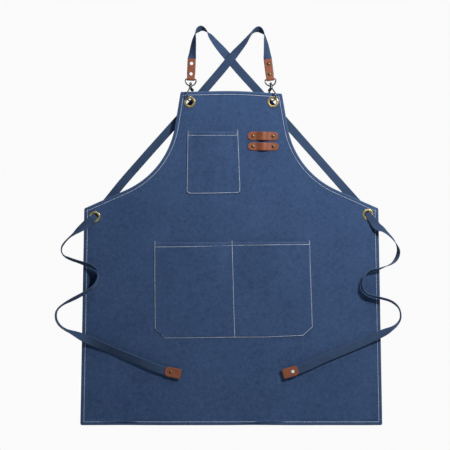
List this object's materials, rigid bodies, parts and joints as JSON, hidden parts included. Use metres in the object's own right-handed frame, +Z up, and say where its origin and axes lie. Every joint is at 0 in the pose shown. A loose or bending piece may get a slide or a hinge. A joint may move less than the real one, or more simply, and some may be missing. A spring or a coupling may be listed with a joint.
{
  "type": "cross-back work apron",
  "caption": "Canvas work apron hung by crossed webbing shoulder straps that clip to the bib, with patch pockets, leather tool loops and loose waist ties.",
  "frame": {"origin": "the point the apron hangs from: level with the insides of the two shoulder loops, on the panel's middle plane and half way across", "axes": "+X to the right as seen from the front, -Y out of the front of the panel, +Z up"},
  "size_m": [0.7797, 0.042, 0.8999],
  "materials": {
    "canvas": "mid-weight plain-weave cotton canvas, dusty navy",
    "webbing": "woven cotton webbing, navy",
    "saddle_leather": "oiled saddle-brown leather, cut edges",
    "antique_brass": "antiqued, satin",
    "nickel": "bright nickel plate",
    "gunmetal": "dark gunmetal plate, polished",
    "spring_steel": "bare spring steel"
  },
  "bodies": {
    "root": {"apron_panel": "canvas", "bib_pocket": "canvas", "lower_pocket": "canvas", "tool_loop_upper": "saddle_leather", "tool_loop_lower": "saddle_leather", "tool_loop_rivet_caps": "antique_brass", "tool_loop_rivet_posts": "nickel", "pocket_rivet_caps": "antique_brass", "pocket_rivet_posts": "nickel", "bib_eyelet_left": "antique_brass", "bib_eyelet_washer_left": "antique_brass", "bib_eyelet_right": "antique_brass", "bib_eyelet_washer_right": "antique_brass", "waist_eyelet_left": "antique_brass", "waist_eyelet_washer_left": "antique_brass", "waist_eyelet_right": "antique_brass", "waist_eyelet_washer_right": "antique_brass", "shoulder_strap_left": "webbing", "strap_tab_left": "saddle_leather", "strap_tab_rivet_caps_left": "antique_brass", "strap_tab_rivet_posts_left": "nickel", "shoulder_strap_right": "webbing", "strap_tab_right": "saddle_leather", "strap_tab_rivet_caps_right": "antique_brass", "strap_tab_rivet_posts_right": "nickel"},
    "d_loop_left_body": {"d_loop_left": "gunmetal"},
    "hook_left_body": {"snap_hook_left": "gunmetal", "trigger_pin_left": "spring_steel", "trigger_spring_left": "spring_steel"},
    "trigger_left_body": {"hook_trigger_left": "gunmetal"},
    "tie_left_body": {"tie_left": "webbing", "tie_tip_left": "saddle_leather", "tie_tip_rivet_cap_left": "antique_brass", "tie_tip_rivet_post_left": "nickel"},
    "d_loop_right_body": {"d_loop_right": "gunmetal"},
    "hook_right_body": {"snap_hook_right": "gunmetal", "trigger_pin_right": "spring_steel", "trigger_spring_right": "spring_steel"},
    "trigger_right_body": {"hook_trigger_right": "gunmetal"},
    "tie_right_body": {"tie_right": "webbing", "tie_tip_right": "saddle_leather", "tie_tip_rivet_cap_right": "antique_brass", "tie_tip_rivet_post_right": "nickel"}
  },
  "joints": [
    {"name": "d_loop_left_hinge", "type": "hinge", "parent": "root", "child": "d_loop_left_body", "pos_m": [-0.09111, 0, -0.11606], "axis": [0.9988, 0, -0.0489], "range_deg": [-2, 2]},
    {"name": "hook_left_swivel", "type": "hinge", "parent": "d_loop_left_body", "child": "hook_left_body", "pos_m": [-0.0935, 0, -0.165], "axis": [0.0489, 0, 0.9988], "range_deg": [-4, 76]},
    {"name": "hook_left_trigger", "type": "hinge", "parent": "hook_left_body", "child": "trigger_left_body", "pos_m": [-0.08788, 0.00607, -0.14025], "axis": [-0.8081, 0.5878, 0.0395], "range_deg": [0, 10], "stiffness_Nm_per_rad": 0.02, "springref_deg": -11.46},
    {"name": "tie_left_swing", "type": "hinge", "parent": "root", "child": "tie_left_body", "pos_m": [-0.307, 0, -0.4255], "axis": [0, 1, 0], "range_deg": [-12, 110]},
    {"name": "d_loop_right_hinge", "type": "hinge", "parent": "root", "child": "d_loop_right_body", "pos_m": [0.08753, 0, -0.11636], "axis": [0.9925, 0, 0.1219], "range_deg": [-2, 2]},
    {"name": "hook_right_swivel", "type": "hinge", "parent": "d_loop_right_body", "child": "hook_right_body", "pos_m": [0.0935, 0, -0.165], "axis": [-0.1219, 0, 0.9925], "range_deg": [-76, 4]},
    {"name": "hook_right_trigger", "type": "hinge", "parent": "hook_right_body", "child": "trigger_right_body", "pos_m": [0.08608, 0.00607, -0.14072], "axis": [-0.803, -0.5878, -0.0986], "range_deg": [0, 10], "stiffness_Nm_per_rad": 0.02, "springref_deg": -11.46},
    {"name": "tie_right_swing", "type": "hinge", "parent": "root", "child": "tie_right_body", "pos_m": [0.307, 0, -0.4205], "axis": [0, -1, 0], "range_deg": [-12, 110]}
  ]
}
